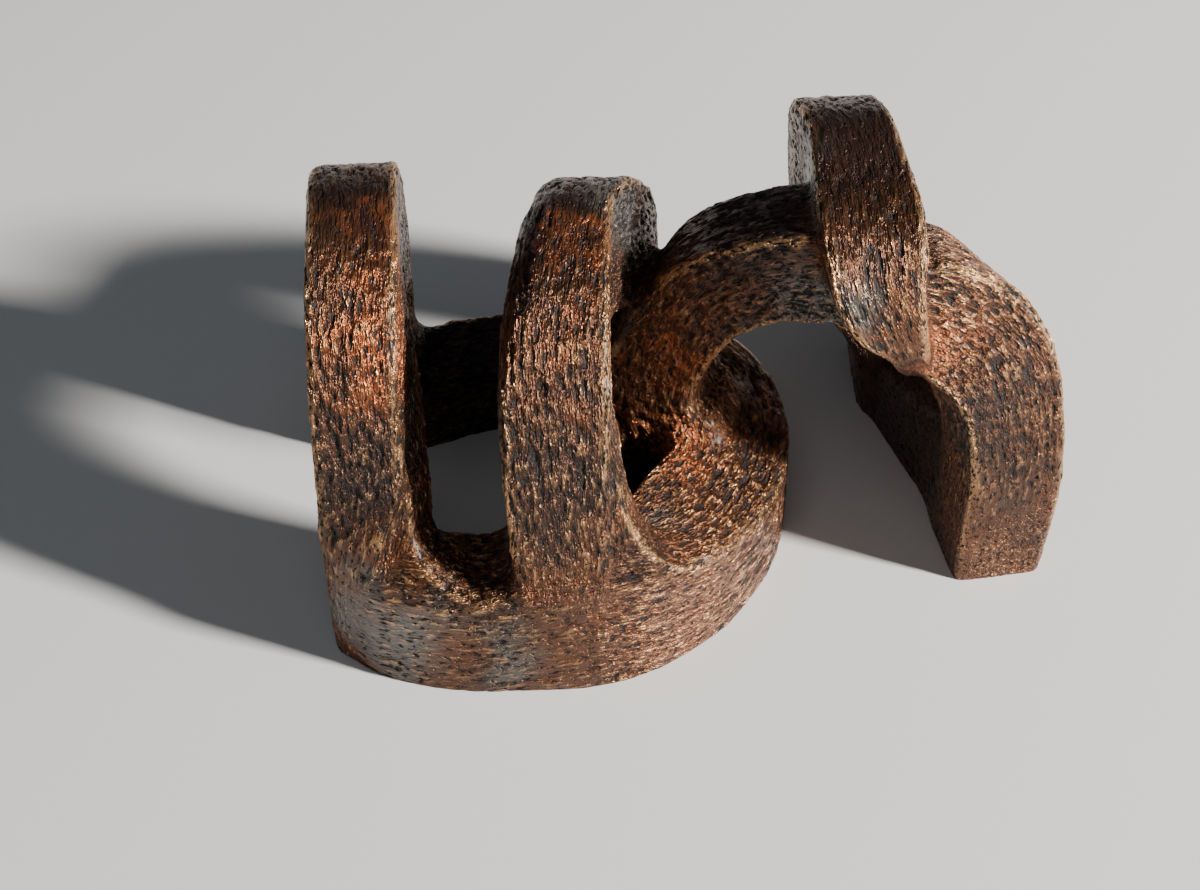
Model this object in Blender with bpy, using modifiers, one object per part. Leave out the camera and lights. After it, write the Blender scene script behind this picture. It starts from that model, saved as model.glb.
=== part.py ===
"""Abstract cast sculpture: square bars that rise, arch over and run into one another.

Five forms make the one piece.  A low wall stands on the table: an open front, a closed
ring and a band behind.  Two loops bridge it from front to back.  A wide arch springs
from inside the ring and comes down to a foot at the right, and a third loop rises from
its shoulder, passes over it and comes down behind, where a second low wall joins it to
the foot.  Two webs fill the angles where the loops' front legs sweep into the front
wall.  The drawing is in millimetres and the mesh in metres.
"""

import math

import bmesh
import bpy
import numpy as np
from mathutils import Matrix, Vector
from mathutils.bvhtree import BVHTree

# Driving dimensions, in millimetres.
MM = 0.001
EDGE = 2.5             # radius along a bar's long edges
WALL = 29.0            # thickness of the low wall
WALL_EDGE = 3.5        # radius along its edges
WALL_TOP = 35.0        # its height at the front
LOOP_TOP = 112.0       # top of the two left loops
LOOP_DEPTH = 29.0      # depth of a loop's legs, front to back
CROWN_DEPTH = 35.0     # depth of a loop where it turns over
ARCH_TURN = math.radians(15.4)   # the wide arch's plane, turned about the vertical
ARCH_FRONT = 57.0      # how far back that plane's front face stands
ARCH_DEPTH = 27.0      # depth of the wide arch
UNDER = -8.0           # bars start this far below the table, and are cut flat at it
VOXEL = 1.25           # grid on which the bars are fused
SMOOTHING = 2          # passes over the whole body, which soften its edges
FILLET_REACH = 11.0    # how far from a crossing its fillet reaches
FILLET_PASSES = 120    # passes that round the crossings only
CREASE = 0.03          # share of them where the third loop lies over the wide arch
CRISP = 0.1            # share of them round the two webs, whose edges stay crisp
WEBS = (((-68, 2, 40), 26), ((-15, 5, 44), 28))   # the webs' middles, and how far each reaches
TRIANGLES = 9200       # faces left in the solid

BRONZE = (0.19, 0.105, 0.055, 1.0)


def empty_scene():
    for obj in list(bpy.data.objects):
        bpy.data.objects.remove(obj, do_unlink=True)


def spline(rows, steps):
    """Points on a Catmull-Rom curve through the rows, each a list of numbers."""
    rows = np.array(rows, float)
    ends = np.vstack([2 * rows[0] - rows[1], rows, 2 * rows[-1] - rows[-2]])
    share = np.arange(steps)[:, None] / steps
    runs = []
    for k in range(len(rows) - 1):
        a, b, c, d = ends[k:k + 4]
        runs.append(0.5 * (2 * b + (c - a) * share + (2 * a - 5 * b + 4 * c - d) * share ** 2
                           + (3 * b - a - 3 * c + d) * share ** 3))
    return np.vstack(runs + [rows[-1:]])


def section(width, depth, edge, slope, soft, corner=5):
    """A rectangle with round corners whose far side slopes, as points once round it."""
    points = []
    for quarter, (sx, sy) in enumerate(((1, 1), (-1, 1), (-1, -1), (1, -1))):
        radius = min(soft if quarter == 2 else edge, 0.45 * width, 0.45 * depth)
        for k in range(corner + 1):
            angle = math.radians(90 * quarter + 90 * k / corner)
            u = sx * (width / 2 - radius) + radius * math.cos(angle)
            v = sy * (depth / 2 - radius) + radius * math.sin(angle)
            points.append((u, v + (slope * u if v > 0 else 0)))
    return points


def bar(name, stations, across, collection, slope=None, edge=EDGE, soft=None, level=False,
        steps=8):
    """Loft a rounded bar through stations of (x, y, z, width, depth).

    across gives the direction of the width at each station, and slope how much the
    side that faces tangent x across rises over that width.  soft gives the radius of
    the outer left corner where that is not a crisp edge, and level keeps every section
    level.
    """
    slope = slope or [0.0] * len(stations)
    soft = soft or [edge] * len(stations)
    rows = [[*s, *a, k, r] for s, a, k, r in zip(stations, across, slope, soft)]
    curve = spline(rows, steps)
    tangents = np.gradient(curve[:, :3], axis=0)
    bm = bmesh.new()
    rings = []
    for row, tangent in zip(curve, tangents):
        centre = Vector(row[:3])
        t = Vector((0, 0, 1)) if level else Vector(tangent).normalized()
        a = Vector(row[5:8])
        a = (a - t * a.dot(t)).normalized()
        b = t.cross(a)
        rings.append([bm.verts.new((centre + a * u + b * v) * MM)
                      for u, v in section(row[3], row[4], edge, row[8], row[9])])
    for low, high in zip(rings, rings[1:]):
        for k in range(len(low)):
            n = (k + 1) % len(low)
            bm.faces.new((low[k], low[n], high[n], high[k]))
    bm.faces.new(rings[0][::-1])
    bm.faces.new(rings[-1])
    bmesh.ops.recalc_face_normals(bm, faces=bm.faces)
    mesh = bpy.data.meshes.new(name)
    bm.to_mesh(mesh)
    bm.free()
    obj = bpy.data.objects.new(name, mesh)
    collection.objects.link(obj)
    return obj


def low_wall(name, line, collection, edge=WALL_EDGE):
    """A wall on the table through (x, y, thickness, height, rise to the right hand)."""
    stations = [(x, y, (top + UNDER) / 2, thick, top - UNDER) for x, y, thick, top, _ in line]
    across = []
    for k in range(len(line)):
        a = Vector(line[max(k - 1, 0)][:2])
        b = Vector(line[min(k + 1, len(line) - 1)][:2])
        ahead = (b - a).normalized()
        across.append((-ahead.y, ahead.x, 0))
    # The far side of tangent x across is up when across points to the left hand.
    return bar(name, stations, across, collection, [-row[4] for row in line], edge)


def ring_wall(collection):
    """From the left loop's foot, along the front, round the ring and back to the left."""
    h = WALL_TOP
    w = WALL
    return low_wall("ring_wall", [
        (-87, 46, 24, 30, 0), (-88, 32, 28, 33, 0), (-82, 21, 31, 32, 0), (-72, 16, 29, 33, 0),
        (-60, 14, 27.5, h - 1.5, 0), (-49, 14, 28, 36.5, 0), (-38, 14.5, w, 40, 0),
        (-27, 17, w, 41, 0), (-18, 21.5, w + 1, h + 2.5, 0), (-7.5, 30, w + 2, h, -0.15),
        (1, 41, w + 3, h - 1, -0.2), (7.5, 56, w + 4, h - 1, -0.22),
        (10, 73, w + 4, h - 1, -0.22), (8, 90, w + 3, h - 2.5, -0.2), (0, 103.5, w + 1, h - 4, -0.1),
        (-16, 112, w - 2, h - 5, 0), (-40, 114, w - 5, h - 8, 0.2), (-62, 112, w - 7, h - 9, 0.3),
        (-84, 105, w - 5, h - 7, 0.3), (-94, 105, 24, h, 0)], collection)


def ring_side(collection):
    """The ring's left side, under the middle loop."""
    return low_wall("ring_side", [(-37, 22, 27, WALL_TOP - 5, 0), (-35, 60, 27, WALL_TOP - 9, 0),
                                  (-29, 103, 27, WALL_TOP - 2, 0)], collection)


def turned(degrees):
    """The direction of a width that is turned in plan from straight across."""
    return (math.cos(math.radians(degrees)), -math.sin(math.radians(degrees)), 0)


def left_loop(collection):
    """The loop at the left end, which springs straight from the table."""
    d = LOOP_DEPTH
    crown = LOOP_TOP - CROWN_DEPTH / 2
    stations = [(-88.5, 22, UNDER, 17, 24), (-88.5, 22, 31, 17, 24), (-86.8, 27, 47, 21.5, 26),
                (-86.3, 32, 60, 22.8, d), (-87, 39, 78, 22.6, 31),
                (-88.5, 52, 90, 23, 34), (-90, 68, crown, 23, CROWN_DEPTH),
                (-91.5, 86, 89, 23, 34), (-93, 100, 74, 24, 30), (-94, 105, 52, 24, d),
                (-94, 105, 25, 24, d), (-94, 105, UNDER, 24, d)]
    turns = [25, 25, 12, 8, 6, 2] + [-6] * (len(stations) - 6)
    return bar("left_loop", stations, [turned(t) for t in turns], collection)


def middle_loop(collection):
    """The second loop, which broadens to the right as it comes down behind."""
    d = LOOP_DEPTH
    crown = LOOP_TOP - CROWN_DEPTH / 2
    stations = [(-37.5, 20, UNDER, 25, 33), (-37.5, 19, 30, 26, 34),
                (-37.2, 19.5, 46, 25, 32), (-38, 21.5, 60, 26, d), (-38.6, 30, 78, 27.6, 31),
                (-38.2, 44, 90, 26.6, 34), (-36.5, 62, crown, 24, CROWN_DEPTH),
                (-34, 71, 93.2, 24.5, CROWN_DEPTH), (-31.5, 82, 87.5, 28.5, 34),
                (-28.7, 94, 74, 33.5, 31), (-28.7, 100, 52, 33.5, d), (-28.7, 101, 25, 33, d),
                (-28.7, 101, UNDER, 33, d)]
    soft = [EDGE, EDGE, EDGE, EDGE, 4, 9, 11, 10, 8, 6, 4, EDGE, EDGE]
    return bar("middle_loop", stations, [(1, 0, 0)] * len(stations), collection, soft=soft)


def web(name, slabs, collection):
    """Fill an angle beside a leg with level slabs.

    Each slab is the x, y and z of its right front corner, its width, depth and turn.
    """
    stations, across = [], []
    for x, y, z, wide, deep, turn in slabs:
        side = Vector(turned(turn))
        back = Vector((-side.y, side.x, 0))
        stations.append((*(Vector((x, y, z)) - side * wide / 2 + back * deep / 2), wide, deep))
        across.append(side)
    return bar(name, stations, across, collection, level=True)


def saddle_web(collection):
    """Where the left loop's front leg sweeps into the saddle of the front wall."""
    return web("saddle_web", [
        (-54, 0.8, 30, 32, 20, 7), (-59.4, 1.3, 33.5, 28, 18, 9), (-65, 2.8, 35, 24, 16, 12),
        (-69.6, 5.6, 38, 19, 15, 15), (-73.4, 9.4, 42, 14, 15, 15), (-75, 13, 47.5, 11, 19, 12),
        (-75.4, 15.8, 57, 10, 24, 8), (-76.6, 20, 66, 8, 27, 7)], collection)


def ring_web(collection):
    """Where the middle loop's front leg sweeps into the ring's rim."""
    return web("ring_web", [
        (0, 15, 33, 34, 15, -24), (-5.5, 11.5, 36, 28, 15, -20), (-9, 9.8, 38.5, 24, 15, -17),
        (-12, 8.5, 42, 20, 15, -13), (-14.8, 7.4, 47.5, 17, 16, -9),
        (-19.2, 7.4, 57, 12, 19, -5), (-21.8, 9.4, 65, 10, 24, -2),
        (-25.4, 16, 76, 6, 27, 0)], collection)


def wide_arch(collection):
    """The arch from inside the ring to the right foot.

    Its stations give the middle of the front face in one upright plane, the width and
    a twist, which turns that face outwards past the shoulder.  The crown is thinner where
    the third loop lies over it.
    """
    c, s = math.cos(ARCH_TURN), math.sin(ARCH_TURN)
    back = Vector((s, c, 0))
    outline = [(-10, UNDER, 40, 0), (-10, 27, 38, 0), (-13.5, 37, 31, 0), (-14.5, 47, 26, 0),
               (-12, 62, 25.5, 0), (-1.5, 83, 26, 0), (14.5, 94, 26, 0), (30.5, 97.4, 27, 1),
               (37, 94.3, 23, 4), (45, 92.3, 24, 12), (52.5, 91, 29, 21), (67, 81, 32.3, 35),
               (78, 66, 29, 34), (83.2, 43, 26.7, 28), (84.1, 19, 27, 25), (83.8, UNDER, 26, 24)]
    front = [Vector((x, (ARCH_FRONT - x * s) / c, z)) for x, z, _, _ in outline]
    stations, across = [], []
    for k, (_, _, wide, twist) in enumerate(outline):
        ahead = (front[min(k + 1, len(front) - 1)] - front[max(k - 1, 0)]).normalized()
        outward = ahead.cross(back)
        turn = math.radians(twist)
        side = outward * math.cos(turn) + back * math.sin(turn)
        inwards = back * math.cos(turn) - outward * math.sin(turn)
        centre = front[k] + back * (wide / 2 * math.sin(turn)) + inwards * (ARCH_DEPTH / 2)
        stations.append((*centre, wide, ARCH_DEPTH))
        across.append(side)
    return bar("wide_arch", stations, across, collection)


def right_wall(collection):
    """From the right foot to the third loop's rear leg, higher on its outer side."""
    return low_wall("right_wall", [
        (84, 52, 25, 44, 0), (82.8, 64, 26, 40, 0.2), (80, 80, 27, 35, 0.45),
        (75, 96, 28, 32, 0.6), (69.5, 112, 28, 29.5, 0.6), (65.5, 126, 27, 25, 0.4),
        (64, 136, 25, 18, 0.2)],
        collection, edge=EDGE)


def crossing_loop(collection):
    """The third loop: off the arch's right shoulder, over it and down behind."""
    stations = [(54.5, 62, 77, 7, 30), (51.5, 56.3, 84, 11, 29), (44, 56.5, 92.5, 23, 32),
                (40.5, 62.3, 98.8, 27, 34), (39.7, 74, 101.2, 25, 32), (38.2, 88, 103.5, 23, 33),
                (36.5, 104.5, 98, 23, 34), (38.5, 116.5, 84, 24, 37), (42, 125.5, 64.5, 25, 38),
                (51, 129, 44, 26, 35), (62.5, 127.5, 22, 27, 35), (67, 126, UNDER, 27, 35)]
    return bar("crossing_loop", stations, [(1, 0, 0.06)] * len(stations), collection)


def fuse(pieces, name, collection):
    """Join the bars into one closed body and round their crossings."""
    bm = bmesh.new()
    for piece in pieces:
        bm.from_mesh(piece.data)
    mesh = bpy.data.meshes.new(name)
    bm.to_mesh(mesh)
    bm.free()
    body = bpy.data.objects.new(name, mesh)
    collection.objects.link(body)
    remesh = body.modifiers.new("Fuse", 'REMESH')
    remesh.mode = 'VOXEL'
    remesh.voxel_size = VOXEL * MM
    apply_modifiers(body)
    trees = []
    names = [piece.name for piece in pieces if not piece.name.endswith("web")]
    for piece in pieces:
        if piece.name in names:
            trees.append(BVHTree.FromPolygons([v.co for v in piece.data.vertices],
                                              [p.vertices for p in piece.data.polygons]))
        bpy.data.objects.remove(piece, do_unlink=True)
    crossing = body.vertex_groups.new(name="crossing")
    creased = {names.index("wide_arch"), names.index("crossing_loop")}
    for vertex in body.data.vertices:
        near = sorted((tree.find_nearest(vertex.co)[3], k) for k, tree in enumerate(trees))[:2]
        weight = max(0.0, 1 - near[1][0] / (FILLET_REACH * MM))
        if {near[0][1], near[1][1]} == creased:
            weight *= CREASE
        for middle, reach in WEBS:
            away = (vertex.co / MM - Vector(middle)).length
            weight *= 1 - (1 - CRISP) * min(1.0, max(0.0, 2 - 2 * away / reach))
        crossing.add([vertex.index], weight, 'REPLACE')
    for label, passes, group in (("Fillets", FILLET_PASSES, "crossing"),
                                 ("Edges", SMOOTHING, "")):
        smooth = body.modifiers.new(label, 'SMOOTH')
        smooth.factor = 0.5
        smooth.iterations = passes
        smooth.vertex_group = group
    apply_modifiers(body)
    return body


def apply_modifiers(body):
    graph = bpy.context.evaluated_depsgraph_get()
    graph.update()
    mesh = bpy.data.meshes.new_from_object(body.evaluated_get(graph))
    body.modifiers.clear()
    body.data = mesh


def stand_flat(body):
    """Cut the underside flat at the table, thin the faces out and centre the body."""
    bm = bmesh.new()
    bm.from_mesh(body.data)
    bmesh.ops.bisect_plane(bm, geom=bm.verts[:] + bm.edges[:] + bm.faces[:], dist=1e-6,
                           plane_co=(0, 0, 0), plane_no=(0, 0, 1), clear_inner=True)
    rim = [e for e in bm.edges if e.is_boundary]
    bmesh.ops.triangle_fill(bm, edges=rim, normal=(0, 0, -1), use_beauty=True)
    bm.to_mesh(body.data)
    bm.free()
    reduce = body.modifiers.new("Facets", 'DECIMATE')
    reduce.ratio = TRIANGLES / (2 * len(body.data.polygons))
    reduce.use_collapse_triangulate = True
    apply_modifiers(body)
    points = np.array([v.co for v in body.data.vertices])
    low, high = points.min(axis=0), points.max(axis=0)
    middle = (low + high) / 2
    print("drawing origin moved by (mm)", [round(float(v) / MM, 2) for v in middle[:2]])
    body.data.transform(Matrix.Translation((-middle[0], -middle[1], -low[2])))


def main():
    empty_scene()
    sculpture = bpy.data.collections.new("abstract_sculpture")
    bpy.context.scene.collection.children.link(sculpture)
    pieces = [make(sculpture) for make in (ring_wall, ring_side, left_loop, middle_loop,
                                           saddle_web, ring_web, wide_arch, right_wall,
                                           crossing_loop)]
    body = fuse(pieces, "sculpture", sculpture)
    stand_flat(body)
    material = bpy.data.materials.new("aged_bronze")
    material.use_nodes = True
    shader = material.node_tree.nodes["Principled BSDF"]
    shader.inputs["Base Color"].default_value = BRONZE
    shader.inputs["Metallic"].default_value = 1.0
    shader.inputs["Roughness"].default_value = 0.45
    body.data.materials.clear()
    body.data.materials.append(material)


main()
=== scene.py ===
# %% [markdown]
# # A pierced bronze of loops and arches
#
# The object is one cast sculpture that stands on a table.  A low wall runs along its
# front and closes into a ring, two loops bridge it from front to back, a wide arch
# springs from the ring and comes down to a foot at the right, and a third loop crosses
# over the arch's shoulder.  Its surface is old bronze: brown skin, dark slots that
# follow the length of every bar, and bare metal where hands and cloth have rubbed it.
#
# The solids of the frame give its size and its place.  This lesson builds the bars once
# more with crisper edges, adds what the solids leave out, the slots, ripples and dents
# of the cast surface, and then its colours, with painted shade, painted highlights and
# painted reflections among them.

# %% Load the frame
import math

import bmesh
import bpy
import numpy as np
from mathutils import Matrix, Vector


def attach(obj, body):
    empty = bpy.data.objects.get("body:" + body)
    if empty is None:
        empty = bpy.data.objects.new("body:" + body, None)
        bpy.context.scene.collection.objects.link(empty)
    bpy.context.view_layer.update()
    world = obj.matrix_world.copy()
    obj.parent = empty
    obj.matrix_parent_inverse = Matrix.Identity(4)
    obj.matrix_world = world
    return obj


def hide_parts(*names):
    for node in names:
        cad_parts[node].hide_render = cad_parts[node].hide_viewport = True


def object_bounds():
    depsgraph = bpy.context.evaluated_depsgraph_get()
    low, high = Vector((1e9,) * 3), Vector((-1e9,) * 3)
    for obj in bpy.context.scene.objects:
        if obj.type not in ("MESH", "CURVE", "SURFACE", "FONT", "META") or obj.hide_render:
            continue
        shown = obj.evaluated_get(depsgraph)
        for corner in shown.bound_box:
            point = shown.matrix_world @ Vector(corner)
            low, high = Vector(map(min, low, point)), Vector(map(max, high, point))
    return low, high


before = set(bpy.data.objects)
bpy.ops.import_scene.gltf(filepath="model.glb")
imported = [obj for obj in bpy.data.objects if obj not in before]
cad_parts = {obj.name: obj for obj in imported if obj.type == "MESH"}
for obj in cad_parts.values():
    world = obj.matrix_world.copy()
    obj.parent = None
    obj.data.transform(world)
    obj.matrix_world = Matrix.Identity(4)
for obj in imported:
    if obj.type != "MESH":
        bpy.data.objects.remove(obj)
cad_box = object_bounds()
MM = 0.001
size = [round((high - low) / MM, 1) for low, high in zip(*cad_box)]
print("the frame is", size, "mm, with nodes", sorted(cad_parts))

# %% [markdown]
# ## The camera
#
# It stands in front of the sculpture and well above it, and looks down at a little
# under 45 degrees with a short telephoto lens.  It comes first, because every later
# step is judged through it.

# %% Camera
camera_data = bpy.data.cameras.new("camera")
camera_data.sensor_width = 36.0
camera_data.lens = 54.5
camera_data.clip_start = 0.01
camera = bpy.data.objects.new("camera", camera_data)
camera.location = (-0.0229, -0.3774, 0.3839)
camera.rotation_euler = (math.radians(46.1), 0, 0)
bpy.context.scene.collection.objects.link(camera)
bpy.context.scene.camera = camera
print("camera looks down by", round(90 - math.degrees(camera.rotation_euler.x), 1), "degrees")

# %% [markdown]
# ## The bars
#
# The sculpture is seven square bars that run into one another.  A modeller could push
# and pull them out of one block by hand.  Here each bar is drawn as a row of stations, a
# middle point with the bar's width and depth there, in millimetres on the maker's
# drawing.  These are the stations that the frame's solid was made from.  A low wall is
# a bar that lies on the table, and the wide arch is drawn in one upright plane.  Two
# webs of level slabs fill the angles where the loops' front legs sweep into the wall,
# and their edges stay as crisp as the bars' own.

# %% Stations of the bars
EDGE = 2.1
WALL_EDGE = 2.9
UNDER = -8.0
CROWN_DEPTH = 35.0
CROWN = 112.0 - CROWN_DEPTH / 2
ARCH_TURN = math.radians(15.4)
ARCH_FRONT = 57.0
ARCH_DEPTH = 27.0


def upright_bar(family, stations, across, soft=None):
    """A bar through (x, y, z, width, depth), with the way its width points.

    soft gives the radius of its outer left corner, where that is not a crisp edge.
    """
    ways = across if isinstance(across, list) else [across] * len(stations)
    soft = soft or [EDGE] * len(stations)
    return dict(family=family, edge=EDGE,
                rows=[(*s, *way, 0, radius) for s, way, radius in zip(stations, ways, soft)])


def low_wall(family, line, edge=WALL_EDGE):
    """A wall on the table through (x, y, thickness, height, rise to the right hand)."""
    rows = []
    for k, (x, y, thick, top, rise) in enumerate(line):
        ahead = Vector(line[min(k + 1, len(line) - 1)][:2]) - Vector(line[max(k - 1, 0)][:2])
        ahead.normalize()
        rows.append((x, y, (top + UNDER) / 2, thick, top - UNDER, -ahead.y, ahead.x, 0, -rise, edge))
    return dict(family=family, edge=edge, rows=rows)


def upright_arch(family, outline):
    """An arch through (x, z, width, twist) of its front face, which lies in one plane."""
    back = Vector((math.sin(ARCH_TURN), math.cos(ARCH_TURN), 0))
    front = [Vector((x, (ARCH_FRONT - x * back.x) / back.y, z)) for x, z, _, _ in outline]
    rows = []
    for k, (_, _, wide, twist) in enumerate(outline):
        ahead = (front[min(k + 1, len(front) - 1)] - front[max(k - 1, 0)]).normalized()
        outward = ahead.cross(back)
        turn = math.radians(twist)
        side = outward * math.cos(turn) + back * math.sin(turn)
        inwards = back * math.cos(turn) - outward * math.sin(turn)
        centre = front[k] + back * (wide / 2 * math.sin(turn)) + inwards * (ARCH_DEPTH / 2)
        rows.append((*centre, wide, ARCH_DEPTH, *side, 0, EDGE))
    return dict(family=family, edge=EDGE, rows=rows)


def turned(degrees):
    """The way a width points when it is turned in plan from straight across."""
    return (math.cos(math.radians(degrees)), -math.sin(math.radians(degrees)), 0)


def web(slabs):
    """A web of level slabs, each (x, y, z, width, depth, turn) of its right front corner."""
    rows = []
    for x, y, z, wide, deep, turn in slabs:
        side = Vector(turned(turn))
        back = Vector((-side.y, side.x, 0))
        centre = Vector((x, y, z)) - side * wide / 2 + back * deep / 2
        rows.append((*centre, wide, deep, *side, 0, EDGE))
    return dict(family=None, edge=EDGE, level=True, rows=rows)


BARS = {
    "ring_wall": low_wall(0, [
        (-87, 46, 24, 30, 0), (-88, 32, 28, 33, 0), (-82, 21, 31, 32, 0), (-72, 16, 29, 33, 0),
        (-60, 14, 27.5, 33.5, 0), (-49, 14, 28, 36.5, 0), (-38, 14.5, 29, 40, 0),
        (-27, 17, 29, 41, 0), (-18, 21.5, 30, 37.5, 0), (-7.5, 30, 31, 35, -0.15),
        (1, 41, 32, 34, -0.2), (7.5, 56, 33, 34, -0.22), (10, 73, 33, 34, -0.22),
        (8, 90, 32, 32.5, -0.2), (0, 103.5, 30, 31, -0.1), (-16, 112, 27, 30, 0),
        (-40, 114, 24, 27, 0.2), (-62, 112, 22, 26, 0.3), (-84, 105, 24, 28, 0.3),
        (-94, 105, 24, 35, 0)]),
    "crossing_loop": upright_bar(0, [
        (54.5, 62, 77, 7, 30), (51.5, 56.3, 84, 11, 29), (44, 56.5, 92.5, 23, 32),
        (40.5, 62.3, 98.8, 27, 34), (39.7, 74, 101.2, 25, 32), (38.2, 88, 103.5, 23, 33),
        (36.5, 104.5, 98, 23, 34), (38.5, 116.5, 84, 24, 37), (42, 125.5, 64.5, 25, 38),
        (51, 129, 44, 26, 35), (62.5, 127.5, 22, 27, 35), (67, 126, UNDER, 27, 35)],
        (1, 0, 0.06)),
    "left_loop": upright_bar(1, [
        (-88.5, 22, UNDER, 17, 24), (-88.5, 22, 31, 17, 24), (-86.8, 27, 47, 21.5, 26),
        (-86.3, 32, 60, 22.8, 29), (-87, 39, 78, 22.6, 31), (-88.5, 52, 90, 23, 34),
        (-90, 68, CROWN, 23, CROWN_DEPTH), (-91.5, 86, 89, 23, 34), (-93, 100, 74, 24, 30),
        (-94, 105, 52, 24, 29), (-94, 105, 25, 24, 29), (-94, 105, UNDER, 24, 29)],
        [turned(angle) for angle in [25, 25, 12, 8, 6, 2] + [-6] * 6]),
    "middle_loop": upright_bar(1, [
        (-37.5, 20, UNDER, 25, 33), (-37.5, 19, 30, 26, 34), (-37.2, 19.5, 46, 25, 32),
        (-38, 21.5, 60, 26, 29), (-38.6, 30, 78, 27.6, 31), (-38.2, 44, 90, 26.6, 34),
        (-36.5, 62, CROWN, 24, CROWN_DEPTH), (-34, 71, 93.2, 24.5, CROWN_DEPTH),
        (-31.5, 82, 87.5, 28.5, 34), (-28.7, 94, 74, 33.5, 31), (-28.7, 100, 52, 33.5, 29),
        (-28.7, 101, 25, 33, 29), (-28.7, 101, UNDER, 33, 29)], (1, 0, 0),
        soft=[EDGE, EDGE, EDGE, EDGE, 4, 9, 11, 10, 8, 6, 4, EDGE, EDGE]),
    "wide_arch": upright_arch(1, [
        (-10, UNDER, 40, 0), (-10, 27, 38, 0), (-13.5, 37, 31, 0), (-14.5, 47, 26, 0),
        (-12, 62, 25.5, 0), (-1.5, 83, 26, 0), (14.5, 94, 26, 0), (30.5, 97.4, 27, 1),
        (37, 94.3, 23, 4), (45, 92.3, 24, 12), (52.5, 91, 29, 21), (67, 81, 32.3, 35),
        (78, 66, 29, 34), (83.2, 43, 26.7, 28), (84.1, 19, 27, 25), (83.8, UNDER, 26, 24)]),
    "ring_side": low_wall(2, [(-37, 22, 27, 30, 0), (-35, 60, 27, 26, 0), (-29, 103, 27, 33, 0)]),
    "right_wall": low_wall(2, [
        (84, 52, 25, 44, 0), (82.8, 64, 26, 40, 0.2), (80, 80, 27, 35, 0.45),
        (75, 96, 28, 32, 0.6), (69.5, 112, 28, 29.5, 0.6), (65.5, 126, 27, 25, 0.4),
        (64, 136, 25, 18, 0.2)], edge=EDGE),
    "saddle_web": web([
        (-54, 0.8, 30, 32, 20, 7), (-59.4, 1.3, 33.5, 28, 18, 9), (-65, 2.8, 35, 24, 16, 12),
        (-69.6, 5.6, 38, 19, 15, 15), (-73.4, 9.4, 42, 14, 15, 15),
        (-75, 13, 47.5, 11, 19, 12), (-75.4, 15.8, 57, 10, 24, 8), (-76.6, 20, 66, 8, 27, 7)]),
    "ring_web": web([
        (0, 15, 33, 34, 15, -24), (-5.5, 11.5, 36, 28, 15, -20), (-9, 9.8, 38.5, 24, 15, -17),
        (-12, 8.5, 42, 20, 15, -13), (-14.8, 7.4, 47.5, 17, 16, -9), (-19.2, 7.4, 57, 12, 19, -5),
        (-21.8, 9.4, 65, 10, 24, -2), (-25.4, 16, 76, 6, 27, 0)]),
}
print({name: len(bar["rows"]) for name, bar in BARS.items()})

# %% [markdown]
# ## Curves through the stations
#
# A curve through the stations gives each bar its line, and the width, depth and turn
# change along it as smoothly as the place does.  Even steps along that curve give two
# things: the rings of the bar's skin, and later the way that the grain of the surface runs.

# %% Even steps along each bar
STEP = 2.0


def even_rows(rows, step=STEP):
    """Rows at even steps of a smooth curve through the given rows, and the way run."""
    rows = np.array(rows, float)
    ends = np.vstack([2 * rows[0] - rows[1], rows, 2 * rows[-1] - rows[-2]])
    share = np.linspace(0, 1, 16, endpoint=False)[:, None]
    curve = []
    for a, b, c, d in zip(ends, ends[1:], ends[2:], ends[3:]):
        curve.append(0.5 * (2 * b + (c - a) * share + (2 * a - 5 * b + 4 * c - d) * share ** 2
                            + (3 * b - a - 3 * c + d) * share ** 3))
    curve = np.vstack(curve + [rows[-1:]])
    run = np.concatenate([[0], np.cumsum(np.linalg.norm(np.diff(curve[:, :3], axis=0), axis=1))])
    even = np.linspace(0, run[-1], int(run[-1] / step) + 1)
    return np.column_stack([np.interp(even, run, column) for column in curve.T]), even


def unit(rows):
    return rows / np.linalg.norm(rows, axis=1)[:, None]


for name, bar in BARS.items():
    even, bar["run"] = even_rows(bar["rows"])
    bar["line"], bar["half"] = even[:, :3], even[:, 3:5] / 2
    bar["slope"], bar["soft"] = even[:, 8], even[:, 9]
    bar["ahead"] = unit(np.gradient(bar["line"], axis=0))
    if "level" in bar:
        bar["ahead"][:] = (0, 0, 1)
    along = (even[:, 5:8] * bar["ahead"]).sum(axis=1)
    bar["across"] = unit(even[:, 5:8] - bar["ahead"] * along[:, None])
    bar["up"] = np.cross(bar["ahead"], bar["across"])
    print(f"{name}: {bar['run'][-1]:.0f} mm long, {len(even)} steps")

# %% [markdown]
# ## Skin of the bars
#
# At every step stands a ring of points, a rectangle with small round corners, and faces
# join each ring to the next.  The corners are the crisp edges that catch the light on
# the real cast, so they get five steps of their own.

# %% Loft the bars
CORNER_STEPS = 5


def ring_points(half, edge, slope, soft):
    """Once round a rectangle with round corners whose far side may slope."""
    points = []
    for quarter, (sx, sy) in enumerate(((1, 1), (-1, 1), (-1, -1), (1, -1))):
        radius = min(soft if quarter == 2 else edge, 0.9 * half[0], 0.9 * half[1])
        for k in range(CORNER_STEPS + 1):
            angle = math.radians(90 * quarter + 90 * k / CORNER_STEPS)
            u = sx * (half[0] - radius) + radius * math.cos(angle)
            v = sy * (half[1] - radius) + radius * math.sin(angle)
            points.append((u, v + (slope * u if v > 0 else 0)))
    return np.array(points)


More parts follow.
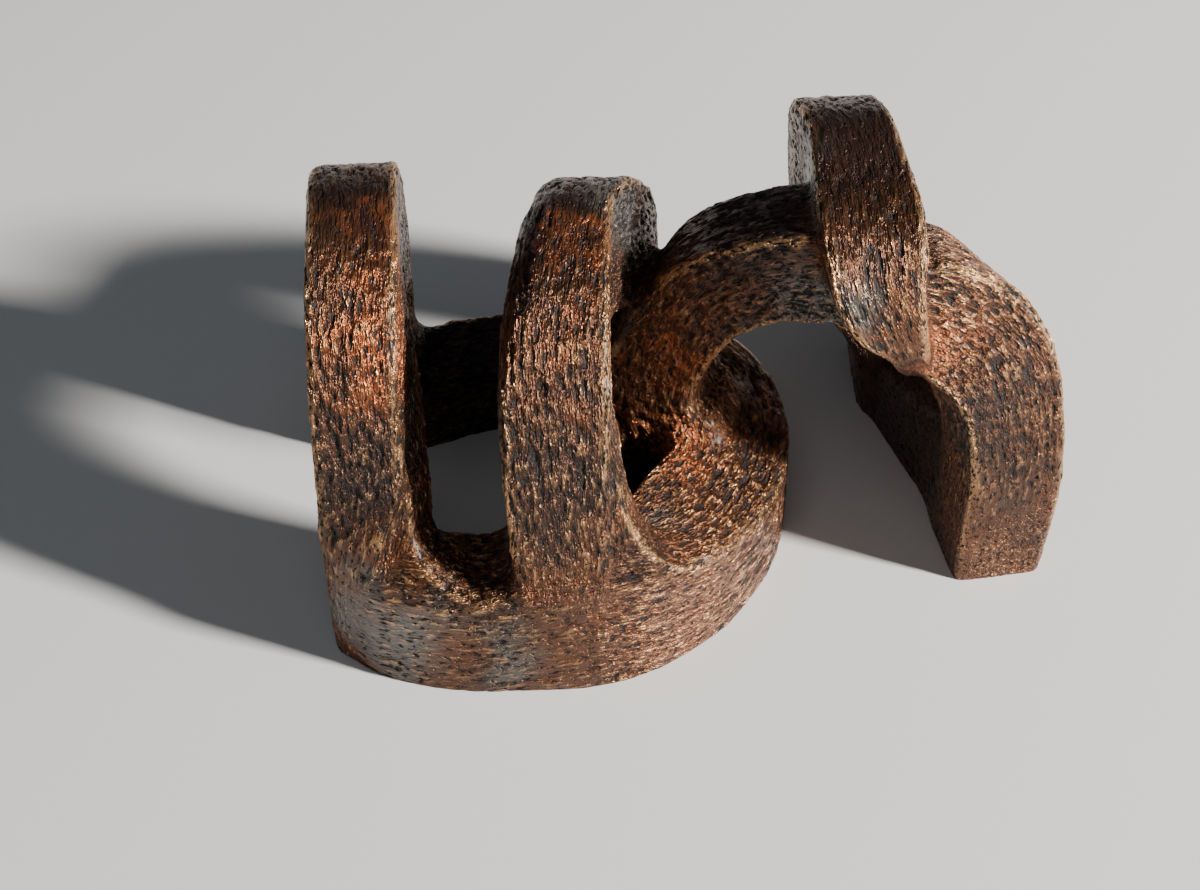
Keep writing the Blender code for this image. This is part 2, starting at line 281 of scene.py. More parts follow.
def loft(bm, bar):
    """Add one bar's closed skin to the mesh."""
    rings = []
    for k in range(len(bar["run"])):
        flat = ring_points(bar["half"][k], bar["edge"], bar["slope"][k], bar["soft"][k])
        points = bar["line"][k] + flat[:, :1] * bar["across"][k] + flat[:, 1:] * bar["up"][k]
        rings.append([bm.verts.new(point * MM) for point in points])
    for low, high in zip(rings, rings[1:]):
        for k in range(len(low)):
            n = (k + 1) % len(low)
            bm.faces.new((low[k], low[n], high[n], high[k]))
    bm.faces.new(rings[0][::-1])
    bm.faces.new(rings[-1])


def loft_bars():
    bm = bmesh.new()
    for bar in BARS.values():
        loft(bm, bar)
    bmesh.ops.recalc_face_normals(bm, faces=bm.faces)
    mesh = bpy.data.meshes.new("cast_body")
    bm.to_mesh(mesh)
    bm.free()
    made = bpy.data.objects.new("cast_body", mesh)
    bpy.context.scene.collection.objects.link(made)
    return made


body = loft_bars()
print("lofted", len(BARS), "bars,", len(body.data.polygons), "faces")

# %% [markdown]
# ## One skin
#
# Where bars cross, their skins still run through each other.  The Remesh modifier in
# its Voxel mode keeps the outer surface alone and lays an even grid of small squares
# over it.  A Boolean would join the bars too, but it leaves long thin faces that neither
# smooth nor bend well.

# %% Fuse
GRID = 0.72 * MM


def evaluated_mesh(obj):
    """The object's mesh with its modifiers applied, and the modifiers gone."""
    graph = bpy.context.evaluated_depsgraph_get()
    graph.update()
    mesh = bpy.data.meshes.new_from_object(obj.evaluated_get(graph))
    obj.modifiers.clear()
    old = obj.data
    obj.data = mesh
    bpy.data.meshes.remove(old)
    return mesh


fuse = body.modifiers.new("Fuse", 'REMESH')
fuse.mode = 'VOXEL'
fuse.voxel_size = GRID
evaluated_mesh(body)
print("one skin of", len(body.data.vertices), "points")

# %% [markdown]
# ## Which bar, and how far along it
#
# Every point of the body now gets its place on the bars: how far along, how far to the
# side and how far up or down.  Where two bars cross, a point belongs to both, and one
# number for each says how much.  The bars are sorted into three families so that no bar
# touches another of its own family.  A pattern worked out for each family and mixed by
# those shares then has no seam anywhere.
#
# The same sums say how far the second nearest bar is, and so where a crossing needs a
# fillet.

# %% Places along the bars
REACH = 4.0
END_REACH = 12.0
FAR = 9.0
AT_ONCE = 20000
BLEND = 0.07
FILLET_REACH = 11.0
CREASE = 0.03
CREASED = ("wide_arch", "crossing_loop")
CRISP = [((-68, 2, 40), 26), ((-15, 5, 44), 28)]
CRISP_SHARE = 0.1


def mesh_points(mesh):
    points = np.empty(len(mesh.vertices) * 3, np.float32)
    mesh.vertices.foreach_get("co", points)
    return points.reshape(-1, 3).astype(float)


def along_bar(points, bar):
    """Place of each point (across, up, along) in mm, its distance, 1 at the skin, and mm off it."""
    line = bar["line"]
    table = np.column_stack([line, bar["run"], bar["ahead"], bar["across"], bar["up"], bar["half"]])
    place = np.empty((len(points), 3))
    distance = np.empty(len(points))
    off = np.empty(len(points))
    for start in range(0, len(points), AT_ONCE):
        rows = slice(start, start + AT_ONCE)
        p = points[rows]
        square = ((p ** 2).sum(axis=1)[:, None] + (line ** 2).sum(axis=1)[None, :] - 2 * p @ line.T)
        share = np.exp((square.min(axis=1)[:, None] - square) / (2 * REACH * REACH))
        near = (share / share.sum(axis=1)[:, None]) @ table
        offset = p - near[:, :3]
        over = (offset * near[:, 4:7]).sum(axis=1)
        u = (offset * near[:, 7:10]).sum(axis=1)
        v = (offset * near[:, 10:13]).sum(axis=1)
        half_u, half_v = near[:, 13], near[:, 14]
        place[rows] = np.column_stack([u, v, near[:, 3] + over])
        distance[rows] = ((u / half_u) ** 4 + (v / half_v) ** 4 + (over / END_REACH) ** 4) ** 0.25
        inside = np.column_stack([half_u, half_v, 0 * u])
        beyond = np.maximum(np.abs(np.column_stack([u, v, over])) - inside, 0)
        off[rows] = np.linalg.norm(beyond, axis=1)
    return place, distance, off


def add_attribute(mesh, name, values):
    kind, field = ('FLOAT_VECTOR', "vector") if values.ndim == 2 else ('FLOAT', "value")
    attribute = mesh.attributes.new(name, kind, 'POINT')
    attribute.data.foreach_set(field, values.astype(np.float32).ravel())


def mark_bars(mesh):
    """Write places and shares to the mesh, and return each point's need of a fillet."""
    points = mesh_points(mesh) / MM
    places = [np.zeros((len(points), 3)) for _ in range(3)]
    nearest = [np.full(len(points), FAR) for _ in range(3)]
    off = []
    names = [name for name, bar in BARS.items() if bar["family"] is not None]
    for name in names:
        family = BARS[name]["family"]
        place, distance, beyond = along_bar(points, BARS[name])
        closer = distance < nearest[family]
        places[family][closer] = place[closer]
        nearest[family][closer] = distance[closer]
        off.append(beyond)
    nearest = np.column_stack(nearest)
    share = np.exp((nearest.min(axis=1)[:, None] - nearest) / BLEND)
    share /= share.sum(axis=1)[:, None]
    for k in range(3):
        add_attribute(mesh, f"bar_place_{k + 1}", places[k])
    add_attribute(mesh, "bar_share", share)
    off = np.column_stack(off)
    order = np.argsort(off, axis=1)[:, :2]
    second = np.take_along_axis(off, order, axis=1)[:, 1]
    fillet = np.clip(1 - second / FILLET_REACH, 0, 1)
    pair = sorted(names.index(name) for name in CREASED)
    fillet[(np.sort(order, axis=1) == pair).all(axis=1)] *= CREASE
    for centre, reach in CRISP:
        away = np.linalg.norm(points - np.array(centre, float), axis=1)
        fillet *= 1 - (1 - CRISP_SHARE) * np.clip(2 - 2 * away / reach, 0, 1)
    return fillet


fillet = mark_bars(body.data)
print("points that need a fillet:", int((fillet > 0).sum()))

# %% [markdown]
# ## Fillets and softened edges
#
# The Smooth modifier moves each point towards its neighbours' middle.  Held to the
# crossings by a vertex group and run many times, it turns the creases between bars into
# the wide fillets of the cast.  The third loop keeps a crease where it lies over the
# arch, and the two webs keep their crisp edges.  A few passes over everything take the
# last steps of the grid away.

# %% Smooth
FILLET_PASSES = 360
EDGE_PASSES = 4


def smooth(body, label, passes, group=""):
    modifier = body.modifiers.new(label, 'SMOOTH')
    modifier.factor = 0.5
    modifier.iterations = passes
    modifier.vertex_group = group


def round_crossings(body, fillet):
    group = body.vertex_groups.new(name="crossing")
    for index in np.flatnonzero(fillet > 0.01):
        group.add([int(index)], float(fillet[index]), 'REPLACE')
    smooth(body, "Fillets", FILLET_PASSES, "crossing")
    smooth(body, "Edges", EDGE_PASSES)
    evaluated_mesh(body)
    body.vertex_groups.clear()


def centre_on(body, box):
    """Move the mesh so that its box has the same middle in plan as the given one."""
    points = mesh_points(body.data)
    middle = (points.min(axis=0) + points.max(axis=0)) / 2
    target = [(low + high) / 2 for low, high in zip(*box)]
    body.data.transform(Matrix.Translation((target[0] - middle[0], target[1] - middle[1], 0)))
    return [round(float(t - m) / MM, 2) for t, m in zip(target[:2], middle[:2])]


round_crossings(body, fillet)
print("drawing moved onto the frame by", centre_on(body, cad_box), "mm")

# %% [markdown]
# ## Rubbed edges and named places
#
# Wear needs a map too.  A heavily smoothed copy of the body lies below the skin at every
# edge and above it in every corner, so the gap between the two says where hands and
# cloth reach the metal and rub it bare.
#
# The patina is not the same everywhere either.  Painted shade darkens the crowns, the
# arch's top and other shaded places, painted highlight turns the saddle, the ring's top
# and lit edges gold, and painted reflection greys the wall's left end, which is also
# nearly smooth.  Such places are listed, each with its centre in millimetres from the
# middle of the underside, its reach and its strength, as a restorer would mark them on a
# drawing.

# %% Wear maps
PLACES = {
    "quiet": [((-74, -66, 20), 24, 0.85), ((-86, -60, 36), 16, 0.6), ((-40, -70, 10), 30, 0.5),
              ((0, -58, 14), 26, 0.4), ((-83, -10, 112), 24, 0.5), ((-32, -14, 112), 22, 0.4),
              ((88, -32, 14), 34, 0.6), ((44, 8, 118), 26, 0.6), ((30, 12, 106), 14, 0.8),
              ((-4, -8, 64), 26, 0.5), ((60, -24, 76), 14, 0.7), ((75, 20, 20), 34, 0.8)],
    "pitted": [((90, -32, 26), 40, 1.0), ((84, -30, 66), 26, 0.7), ((-19, -5, 102), 22, 1.0),
               ((-74, -66, 16), 26, 0.5), ((-30, -66, 14), 40, 0.6), ((20, -22, 94), 30, 0.6)],
    # Painted shade: darker, duller skin on the crowns and the arch's top, in the third loop's shadow,
    # at the back of the ring and the right wall, in the ring's hole and on the middle of the fingers'
    # fronts.
    "painted_shade": [((-83, -8, 114), 26, 0.8), ((-32, -8, 114), 26, 0.8), ((44, 10, 120), 28, 1.0),
             ((14, 2, 110), 30, 0.9), ((-14, 2, 92), 18, 0.5), ((-40, 40, 18), 44, 0.9),
             ((68, 22, 20), 36, 0.9), ((47, -14, 104), 16, 0.5), ((-10, -18, 12), 20, 0.5),
             ((-19, -5, 102), 22, 0.6), ((-34, -48, 70), 30, 0.85), ((84, -30, 60), 26, 0.4),
             ((-82, -50, 68), 28, 0.55)],
    # The red spot at the arch's foot by the ring's hole is a painted reflection of light thrown from
    # the ring's lit top; the other red places are patina.
    "red": [((-73, -40, 92), 22, 0.8), ((-76, -20, 108), 22, 0.6), ((-28, -22, 106), 22, 0.6),
            ((-5, -10, 62), 24, 0.5), ((-6, -20, 34), 22, 0.9), ((-22, -40, 92), 20, 0.5),
            ((-10, -12, 84), 20, 0.35), ((62, -22, 80), 18, 0.6), ((-34, -66, 40), 20, 0.3)],
    # Painted reflection and shade: grey where the skin only sees the sky or the table, on the wall's
    # front and left end, the third loop's left side, the middle loop's crown side and the arch's front.
    "painted_reflection": [((-76, -66, 20), 26, 1.0), ((-46, -70, 12), 26, 0.6), ((0, -56, 20), 34, 0.45),
             ((30, 10, 108), 16, 0.8), ((-19, -2, 104), 20, 0.9), ((32, -22, 92), 26, 0.85),
             ((4, -14, 80), 18, 0.4), ((-40, 40, 30), 30, 0.5)],
    # Painted highlight: gold where the low light falls full, on the saddle, the ring's top, the arch's
    # right face, the arch's root and the lit edges of the fingers and the wall.
    "gold_rub_and_highlight": [((-60, -64, 34), 22, 1.0), ((12, -34, 33), 30, 0.9), ((74, -20, 92), 20, 0.9),
             ((-74, -54, 62), 20, 0.35), ((-24, -50, 66), 30, 0.6), ((0, -4, 38), 16, 0.8),
             ((-40, -70, 44), 24, 0.3), ((86, -30, 66), 24, 0.1)],
}
EDGE_FINDING = 45


def spots(points, places):
    """Highest value of soft round spots, each ((x, y, z), reach, strength)."""
    value = np.zeros(len(points))
    for centre, reach, strength in places:
        square = ((points - np.array(centre, float)) ** 2).sum(axis=1)
        value = np.maximum(value, strength * np.exp(-square / (2 * (reach / 1.6) ** 2)))
    return value


def edge_height(body):
    """How far each point stands out from a smoothed copy, in mm."""
    copy = body.copy()
    copy.data = body.data.copy()
    bpy.context.scene.collection.objects.link(copy)
    smooth(copy, "Smoothed", EDGE_FINDING)
    mesh = evaluated_mesh(copy)
    normals = np.empty(len(mesh.vertices) * 3, np.float32)
    mesh.vertices.foreach_get("normal", normals)
    gap = mesh_points(body.data) - mesh_points(mesh)
    height = (gap * normals.reshape(-1, 3)).sum(axis=1) / MM
    bpy.data.objects.remove(copy, do_unlink=True)
    return height


def mark_wear(body):
    edge = edge_height(body)
    add_attribute(body.data, "edge", edge)
    points = mesh_points(body.data) / MM
    for name, places in PLACES.items():
        add_attribute(body.data, name, spots(points, places))
    return edge


edge = mark_wear(body)
print("the skin stands from", round(float(edge.min()), 2), "to", round(float(edge.max()), 2),
      "mm off its smoothed copy; named places:", {name: len(places) for name, places in PLACES.items()})

# %% [markdown]
# ## Grain along the bars
#
# The slots are uneven and drawn out, as if the clay had been dragged before the cast.
# Noise stretched along the bars gives that.  It could be painted by hand, but nodes give
# every bar the same hand.  First come a few short helpers that add nodes, do sums with
# them and read the body's own maps.

# %% Node helpers
def new_node(tree, kind, **settings):
    node = tree.nodes.new(kind)
    for key, value in settings.items():
        setattr(node, key, value)
    return node


def math_node(tree, operation, *values):
    node = new_node(tree, 'ShaderNodeMath', operation=operation)
    for socket, value in zip(node.inputs, values):
        if isinstance(value, (int, float)):
            socket.default_value = value
        else:
            tree.links.new(value, socket)
    return node.outputs[0]


def plus(tree, first, second):
    return math_node(tree, 'ADD', first, second)


def minus(tree, first, second):
    return math_node(tree, 'SUBTRACT', first, second)


def times(tree, first, second):
    return math_node(tree, 'MULTIPLY', first, second)


def read_vector(tree, name):
    """An attribute of the mesh, as the shader or the geometry nodes read it."""
    if tree.bl_idname == 'GeometryNodeTree':
        node = new_node(tree, 'GeometryNodeInputNamedAttribute', data_type='FLOAT_VECTOR')
        node.inputs["Name"].default_value = name
        return node.outputs["Attribute"]
    node = new_node(tree, 'ShaderNodeAttribute', attribute_type='GEOMETRY')
    node.attribute_name = name
    return node.outputs["Vector"]


def read_number(tree, name):
    if tree.bl_idname == 'GeometryNodeTree':
        node = new_node(tree, 'GeometryNodeInputNamedAttribute', data_type='FLOAT')
        node.inputs["Name"].default_value = name
        return node.outputs["Attribute"]
    node = new_node(tree, 'ShaderNodeAttribute', attribute_type='GEOMETRY')
    node.attribute_name = name
    return node.outputs["Fac"]


def smooth_step(tree, value, low, high):
    """0 at low, 1 at high and a soft step between, also where low is above high."""
    node = new_node(tree, 'ShaderNodeMapRange', interpolation_type='SMOOTHSTEP')
    for label, given in (("Value", value), ("From Min", low), ("From Max", high)):
        if isinstance(given, (int, float)):
            node.inputs[label].default_value = given
        else:
            tree.links.new(given, node.inputs[label])
    return node.outputs[0]


print("maps to read:", [attribute.name for attribute in body.data.attributes
                        if attribute.name in PLACES or attribute.name.startswith(("bar", "edge"))])

# %% [markdown]
# The same group of nodes is built twice, once for the geometry and once for the
# colours, so that a dark slot lies in its dent.  It works the noise out for each of the
# three families and mixes them by the point's shares.

# %% The grain group
GRAIN_ROUGHNESS = 0.62


def grain_group(kind):
    """Noise drawn out along the bars, mixed over the three families of bars."""
    tree = bpy.data.node_groups.new("grain along the bars", kind)
    for label in ("Width", "Length", "Detail", "Shift"):
        tree.interface.new_socket(label, in_out='INPUT', socket_type='NodeSocketFloat')
    tree.interface.new_socket("Grain", in_out='OUTPUT', socket_type='NodeSocketFloat')
    given = new_node(tree, 'NodeGroupInput').outputs
    stretch = new_node(tree, 'ShaderNodeCombineXYZ')
    for axis, label in enumerate(("Width", "Width", "Length")):
        tree.links.new(given[label], stretch.inputs[axis])
    grains = new_node(tree, 'ShaderNodeCombineXYZ')
    for k in range(3):
        scaled = new_node(tree, 'ShaderNodeVectorMath', operation='DIVIDE')
        tree.links.new(read_vector(tree, f"bar_place_{k + 1}"), scaled.inputs[0])
        tree.links.new(stretch.outputs[0], scaled.inputs[1])
        moved = new_node(tree, 'ShaderNodeVectorMath', operation='ADD')
        tree.links.new(scaled.outputs[0], moved.inputs[0])
        tree.links.new(given["Shift"], moved.inputs[1])
        noise = new_node(tree, 'ShaderNodeTexNoise', noise_dimensions='3D')
        noise.inputs["Scale"].default_value = 1.0
        noise.inputs["Roughness"].default_value = GRAIN_ROUGHNESS
        tree.links.new(moved.outputs[0], noise.inputs["Vector"])
        tree.links.new(given["Detail"], noise.inputs["Detail"])
        tree.links.new(noise.outputs[0], grains.inputs[k])
    mixed = new_node(tree, 'ShaderNodeVectorMath', operation='DOT_PRODUCT')
    tree.links.new(grains.outputs[0], mixed.inputs[0])
    tree.links.new(read_vector(tree, "bar_share"), mixed.inputs[1])
    result = new_node(tree, 'NodeGroupOutput')
    tree.links.new(mixed.outputs["Value"], result.inputs["Grain"])
    return tree


GRAIN = {kind: grain_group(kind) for kind in ('GeometryNodeTree', 'ShaderNodeTree')}


def grain(tree, width, length, detail, shift):
    """Place the grain group in a tree and return its value."""
    kind = 'GeometryNodeGroup' if tree.bl_idname == 'GeometryNodeTree' else 'ShaderNodeGroup'
    node = new_node(tree, kind, node_tree=GRAIN[tree.bl_idname])
    for label, value in (("Width", width), ("Length", length), ("Detail", detail), ("Shift", shift)):
        if isinstance(value, (int, float)):
            node.inputs[label].default_value = value
        else:
            tree.links.new(value, node.inputs[label])
    return node.outputs["Grain"]


print("grain groups:", [group.name for group in GRAIN.values()])

# %% [markdown]
# ## Slots and pits
#
# Low grain is a slot, and low spots of a rounder grain are pits.  Quiet places have
# fewer slots, and pitted ones more pits.  Relief and colour both ask this one rule.

# %% Slots and pits
GRAIN_WIDTH = 1.2
GRAIN_LENGTH = 3.6
PIT_WIDTH = 1.1
PIT_LENGTH = 1.7
SLOT_LEVEL = 0.458
SLOT_RIM = 0.06
QUIET_DROP = 0.16
PIT_LEVEL = 0.375
PIT_RIM = 0.05
PITTED_RISE = 0.06
PIT_SHIFT = 9.0


def skin_fields(tree, detail):
    """Ridges (0.3 to 0.7), slots and pits (0 to 1): the pattern that relief and colour share."""
    quiet = read_number(tree, "quiet")
    ridges = grain(tree, GRAIN_WIDTH, GRAIN_LENGTH, detail, 0.0)
    level = minus(tree, SLOT_LEVEL, times(tree, quiet, QUIET_DROP))
    slots = smooth_step(tree, ridges, level, minus(tree, level, SLOT_RIM))
    level = plus(tree, PIT_LEVEL, times(tree, read_number(tree, "pitted"), PITTED_RISE))
    spotted = grain(tree, PIT_WIDTH, PIT_LENGTH, 1.0, PIT_SHIFT)
    pits = smooth_step(tree, spotted, level, minus(tree, level, PIT_RIM))
    return ridges, slots, pits, quiet


print("grain of the slots", GRAIN_WIDTH, "x", GRAIN_LENGTH, "mm, of the pits",
      PIT_WIDTH, "x", PIT_LENGTH, "mm")

# %% [markdown]
# ## The relief
#
# Geometry Nodes move each point of the body along its normal: the fine ridges up, the
# slots and pits down, then a longer and softer ripple along the bars, and last the slow
# wobble of a surface that was shaped by hand.  Sculpting by hand would do it too, but a
# rule can be changed later by a number.

# %% Relief by Geometry Nodes
RELIEF = {"Ridge Height": 1.0, "Slot Depth": 0.2, "Pit Depth": 0.25, "Ripple Height": 0.9,
          "Wobble Height": 1.2}
RIPPLE_WIDTH = 3.6
RIPPLE_LENGTH = 12.0
RIPPLE_SHIFT = 7.0
WOBBLE_SCALE = 45.0
CALMING = 0.9


def relief_tree():
    tree = bpy.data.node_groups.new("cast relief", 'GeometryNodeTree')
    tree.interface.new_socket("Geometry", in_out='INPUT', socket_type='NodeSocketGeometry')
    for label in RELIEF:
        tree.interface.new_socket(label, in_out='INPUT', socket_type='NodeSocketFloat')
    tree.interface.new_socket("Material", in_out='INPUT', socket_type='NodeSocketMaterial')
    tree.interface.new_socket("Geometry", in_out='OUTPUT', socket_type='NodeSocketGeometry')
    given = new_node(tree, 'NodeGroupInput').outputs
    ridges, slots, pits, quiet = skin_fields(tree, 1.0)
    lively = minus(tree, 1.0, times(tree, quiet, CALMING))
    ridge = times(tree, minus(tree, ridges, 0.5), lively)
    ripple = minus(tree, grain(tree, RIPPLE_WIDTH, RIPPLE_LENGTH, 1.0, RIPPLE_SHIFT), 0.5)
    ripple = times(tree, ripple, lively)
    position = new_node(tree, 'GeometryNodeInputPosition').outputs[0]
    slow = new_node(tree, 'ShaderNodeTexNoise', noise_dimensions='3D')
    slow.inputs["Scale"].default_value = WOBBLE_SCALE
    slow.inputs["Detail"].default_value = 1.0
    tree.links.new(position, slow.inputs["Vector"])
    wobble = minus(tree, slow.outputs[0], 0.5)
    height = times(tree, ridge, given["Ridge Height"])
    for field, label, sign in ((slots, "Slot Depth", 'SUBTRACT'), (pits, "Pit Depth", 'SUBTRACT'),
                               (ripple, "Ripple Height", 'ADD'), (wobble, "Wobble Height", 'ADD')):
        height = math_node(tree, sign, height, times(tree, field, given[label]))
    height = times(tree, height, MM)
    offset = new_node(tree, 'ShaderNodeVectorMath', operation='SCALE')
    tree.links.new(new_node(tree, 'GeometryNodeInputNormal').outputs[0], offset.inputs[0])
    tree.links.new(height, offset.inputs["Scale"])
    move = new_node(tree, 'GeometryNodeSetPosition')
    tree.links.new(given["Geometry"], move.inputs["Geometry"])
    tree.links.new(offset.outputs[0], move.inputs["Offset"])
    real = new_node(tree, 'GeometryNodeRealizeInstances')
    tree.links.new(move.outputs[0], real.inputs["Geometry"])
    paint = new_node(tree, 'GeometryNodeSetMaterial')
    tree.links.new(real.outputs[0], paint.inputs["Geometry"])
    tree.links.new(given["Material"], paint.inputs["Material"])
    result = new_node(tree, 'NodeGroupOutput')
    tree.links.new(paint.outputs[0], result.inputs["Geometry"])
    return tree


def set_inputs(modifier, values):
    """Set a Geometry Nodes modifier's inputs, found by name, through their identifiers."""
    sockets = {item.name: item.identifier for item in modifier.node_group.interface.items_tree
               if item.item_type == 'SOCKET' and item.in_out == 'INPUT'}
    for name, value in values.items():
        modifier[sockets[name]] = value


bronze = bpy.data.materials.new("aged_bronze_skin")
relief = body.modifiers.new("Cast relief", 'NODES')
relief.node_group = relief_tree()
set_inputs(relief, {**RELIEF, "Material": bronze})
evaluated_mesh(body)
print("relief on", len(body.data.vertices), "points")

# %% [markdown]
# ## Thin out, cut flat and close
#
# The grid is finer than a shared part needs.  Collapsing edges keeps the points where
# the skin bends, at the slots' rims, and takes them away where it is even.  The sunk
# underside is then cut at the table and closed.

# %% Thin out and cut flat
FACES = 228000


def thin_out(body, faces):
    triangles = sum(len(polygon.vertices) - 2 for polygon in body.data.polygons)
    reduce = body.modifiers.new("Fewer faces", 'DECIMATE')
    reduce.ratio = faces / triangles
    reduce.use_collapse_triangulate = True
    evaluated_mesh(body)


def cut_flat(body):
    bm = bmesh.new()
    bm.from_mesh(body.data)
    bmesh.ops.bisect_plane(bm, geom=bm.verts[:] + bm.edges[:] + bm.faces[:], dist=1e-6,
                           plane_co=(0, 0, 0), plane_no=(0, 0, 1), clear_inner=True)
    rim = [edge for edge in bm.edges if edge.is_boundary]
    bmesh.ops.triangle_fill(bm, edges=rim, normal=(0, 0, -1), use_beauty=True)
    for edge in rim:
        edge.smooth = False
    for face in bm.faces:
        face.smooth = True
    bm.to_mesh(body.data)
    open_edges = sum(1 for edge in bm.edges if not edge.is_manifold)
    bm.free()
    return open_edges


thin_out(body, FACES)
open_edges = cut_flat(body)
print(len(body.data.polygons), "faces,", open_edges, "open edges")

# %% [markdown]
# ## The aged bronze
#
# One material does the whole skin, and it is built from layers: a brown skin that
# drifts from nearly black to red, darker and duller under painted shade and greyed by
# painted reflection, gold where it is rubbed, on the edges and on the tops of the fine
# ridges, and gold as painted highlight where light falls full, and near-black dirt in the
# slots and pits.  Dirt is rough and much less metallic than the bare metal, which is also
# the smoothest.  A thin coat of wax lies over everything but the dirt.

# %% Layers of the skin
UMBER = (0.052, 0.025, 0.017, 1.0)
BROWN = (0.145, 0.056, 0.026, 1.0)
RED = (0.32, 0.095, 0.034, 1.0)
# grey of painted reflection and shade
REFLECTION_GREY = (0.145, 0.13, 0.118, 1.0)
GOLD = (0.86, 0.48, 0.22, 1.0)
DIRT = (0.014, 0.010, 0.009, 1.0)
WAX = 0.24
WAX_ROUGHNESS = 0.35
METAL = 0.88
ROUGHNESS = 0.32
BROWN_CLOUD = 60.0
RED_CLOUD = 110.0
GRAIN_BUMP = 4.0
BUMP_CALMING = 0.8
BUMP_HEIGHT = 0.8 * MM


def mix_colour(tree, share, low, high):
    node = new_node(tree, 'ShaderNodeMix', data_type='RGBA')
    for socket, value in ((node.inputs[0], share), (node.inputs[6], low), (node.inputs[7], high)):
        if isinstance(value, (int, float, tuple)):
            socket.default_value = value
        else:
            tree.links.new(value, socket)
    return node.outputs[2]


def cloud(tree, scale, shift=0.0):
    """Soft cloudy noise over the object, 0 to 1."""
    where = new_node(tree, 'ShaderNodeTexCoord').outputs["Object"]
    placed = new_node(tree, 'ShaderNodeMapping')
    placed.inputs["Location"].default_value = (shift, shift, shift)
    tree.links.new(where, placed.inputs["Vector"])
    noise = new_node(tree, 'ShaderNodeTexNoise', noise_dimensions='3D')
    noise.inputs["Scale"].default_value = scale
    noise.inputs["Detail"].default_value = 3.0
    tree.links.new(placed.outputs[0], noise.inputs["Vector"])
    return noise.outputs[0]


print("colours of the skin:", {"umber": UMBER[:3], "brown": BROWN[:3], "gold_rub_and_highlight": GOLD[:3]})

# %% [markdown]
# The layers are put together from the bottom up.  One cloud of noise makes the brown and
# the painted grey reflection drift and a finer one the red, so that no two places look
# the same.

# %% Bronze skin
def patina(tree, painted_shade):
    """Umber to brown, darker under painted shade, with red places and painted grey reflection."""
    drift = minus(tree, cloud(tree, BROWN_CLOUD), 0.5)
    second = minus(tree, cloud(tree, RED_CLOUD, shift=3.0), 0.5)
    brown = plus(tree, times(tree, drift, 2.2), minus(tree, 0.75, painted_shade))
    skin = mix_colour(tree, smooth_step(tree, brown, 0.0, 1.0), UMBER, BROWN)
    red = plus(tree, read_number(tree, "red"), times(tree, second, 1.8))
    skin = mix_colour(tree, smooth_step(tree, red, 0.3, 0.9), skin, RED)
    # Painted reflection: grey where the skin mirrors the sky and the table.
    painted_reflection = plus(tree, read_number(tree, "painted_reflection"), times(tree, drift, -1.2))
    return mix_colour(tree, smooth_step(tree, painted_reflection, 0.35, 0.9), skin, REFLECTION_GREY)


def rubbed_and_highlit(tree, ridges, painted_shade):
    """How much gold shows: rubbed edges and ridge tops, more in painted highlight places."""
    rim = smooth_step(tree, read_number(tree, "edge"), 0.12, 0.5)
    top = smooth_step(tree, ridges, 0.54, 0.64)
    worn_and_highlit = plus(tree, times(tree, rim, 0.5), times(tree, read_number(tree, "gold_rub_and_highlight"), 0.5))
    worn_and_highlit = minus(tree, plus(tree, worn_and_highlit, 0.3), times(tree, painted_shade, 0.4))
    worn_and_highlit = math_node(tree, 'MINIMUM', worn_and_highlit, 1.0)
    return times(tree, math_node(tree, 'MAXIMUM', top, rim), worn_and_highlit)


def bronze_skin(material):
    material.use_nodes = True
    tree = material.node_tree
    shader = tree.nodes["Principled BSDF"]
    ridges, slots, pits, quiet = skin_fields(tree, 3.0)
    dirt = math_node(tree, 'MAXIMUM', slots, pits)
    # Painted shade darkens the patina, holds back the gold and dulls the metal.
    painted_shade = read_number(tree, "painted_shade")
    rub_and_highlight = rubbed_and_highlit(tree, ridges, painted_shade)
    # The gold stands both for rubbed metal and for painted highlight.
    colour = mix_colour(tree, dirt, mix_colour(tree, rub_and_highlight, patina(tree, painted_shade), GOLD), DIRT)
    dull = math_node(tree, 'MAXIMUM', times(tree, dirt, 0.6), times(tree, painted_shade, 0.3))
    smoother = minus(tree, ROUGHNESS, times(tree, rub_and_highlight, 0.08))
    lively = minus(tree, 1.0, times(tree, quiet, BUMP_CALMING))
    height = times(tree, ridges, times(tree, lively, GRAIN_BUMP))
    tree.links.new(colour, shader.inputs["Base Color"])
    tree.links.new(minus(tree, METAL, dull), shader.inputs["Metallic"])
    tree.links.new(plus(tree, smoother, times(tree, dirt, 0.3)), shader.inputs["Roughness"])
    tree.links.new(times(tree, minus(tree, 1.0, dirt), WAX), shader.inputs["Coat Weight"])
    shader.inputs["Coat Roughness"].default_value = WAX_ROUGHNESS
    bump = new_node(tree, 'ShaderNodeBump')
    bump.inputs["Strength"].default_value = 1.0
    bump.inputs["Distance"].default_value = BUMP_HEIGHT
    tree.links.new(minus(tree, height, times(tree, dirt, 0.5)), bump.inputs["Height"])
    tree.links.new(bump.outputs[0], shader.inputs["Normal"])


bronze_skin(bronze)
body.data.materials.clear()
body.data.materials.append(bronze)
print("bronze skin has", len(bronze.node_tree.nodes), "nodes")

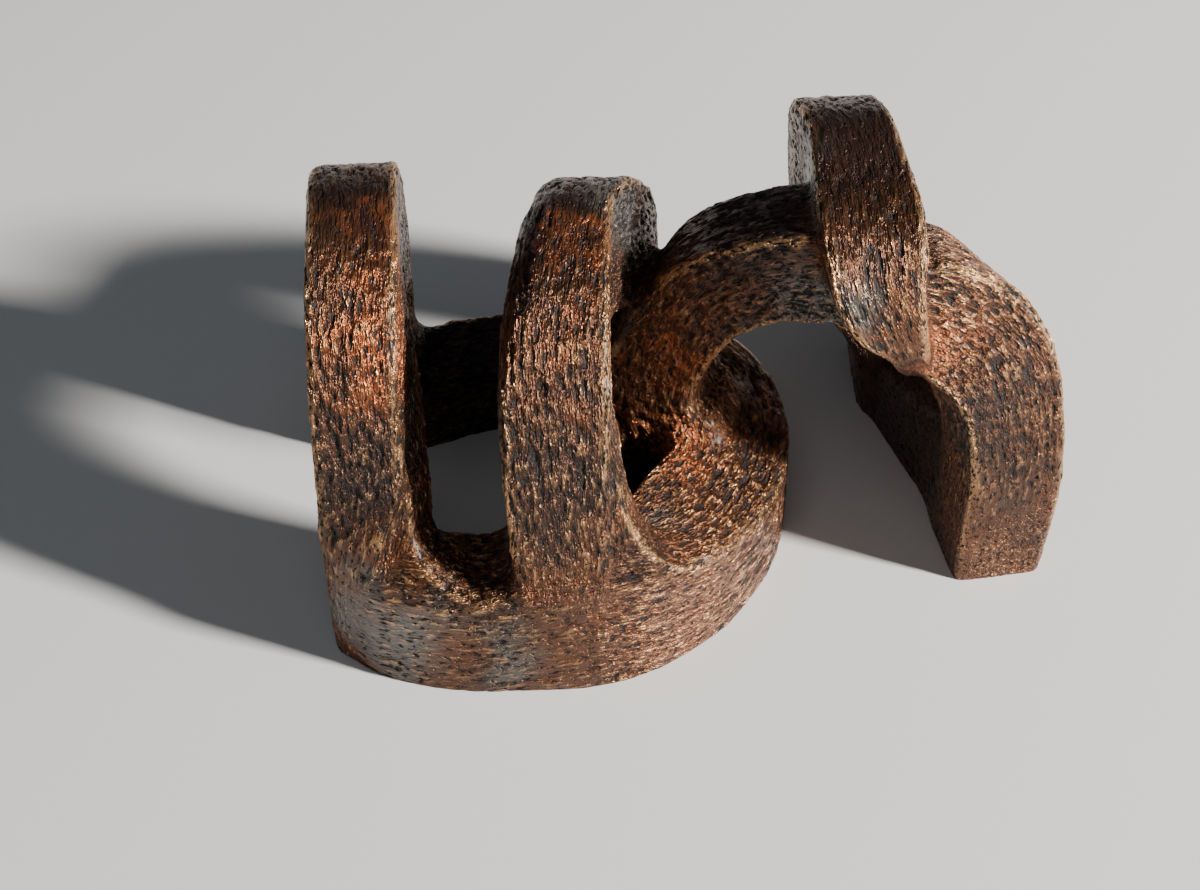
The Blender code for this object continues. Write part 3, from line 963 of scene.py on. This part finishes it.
# %% [markdown]
# ## Table and light
#
# The sculpture stands on a plain pale table.  The main light is low at the right, as a
# window in late afternoon.  A large soft box above and behind at the left gives the crowns
# their sheen, and another one above the front keeps the shadows open.  The table lies a
# hair below the feet, so that the two surfaces never coincide.

# %% Table and lights
AIM = Vector((0, 0, 0.05))
TABLE_REACH = 4.0
TABLE_GAP = 0.2 * MM
PALE = (0.80, 0.805, 0.80, 1.0)


def make_table():
    bm = bmesh.new()
    bmesh.ops.create_grid(bm, x_segments=1, y_segments=1, size=TABLE_REACH)
    mesh = bpy.data.meshes.new("table_top")
    bm.to_mesh(mesh)
    bm.free()
    table = bpy.data.objects.new("table_top", mesh)
    bpy.context.scene.collection.objects.link(table)
    paint = bpy.data.materials.new("pale_table")
    paint.use_nodes = True
    shader = paint.node_tree.nodes["Principled BSDF"]
    shader.inputs["Base Color"].default_value = PALE
    shader.inputs["Roughness"].default_value = 0.7
    mesh.materials.append(paint)
    return table


def soft_box(name, place, width, watts, colour):
    """A square light of that width that faces the sculpture."""
    data = bpy.data.lights.new(name, 'AREA')
    data.shape = 'SQUARE'
    data.size = width
    data.energy = watts
    data.color = colour
    light = bpy.data.objects.new(name, data)
    light.location = place
    light.rotation_euler = (AIM - Vector(place)).to_track_quat('-Z', 'Y').to_euler()
    bpy.context.scene.collection.objects.link(light)


table = make_table()
table.location.z = -TABLE_GAP
soft_box("low_window", (2.63, -0.94, 1.36), 0.30, 300.0, (1.0, 0.95, 0.89))
soft_box("high_box", (-0.7, 0.5, 1.1), 1.2, 0.5, (0.88, 0.93, 1.0))
soft_box("front_box", (-0.15, -0.9, 1.3), 1.0, 1.8, (0.95, 0.97, 1.0))
world = bpy.data.worlds.new("room")
world.use_nodes = True
world.node_tree.nodes["Background"].inputs["Color"].default_value = (0.55, 0.6, 0.68, 1.0)
world.node_tree.nodes["Background"].inputs["Strength"].default_value = 0.075
bpy.context.scene.world = world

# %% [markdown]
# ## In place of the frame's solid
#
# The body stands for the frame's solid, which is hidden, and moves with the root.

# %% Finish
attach(body, "root")
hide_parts("sculpture")
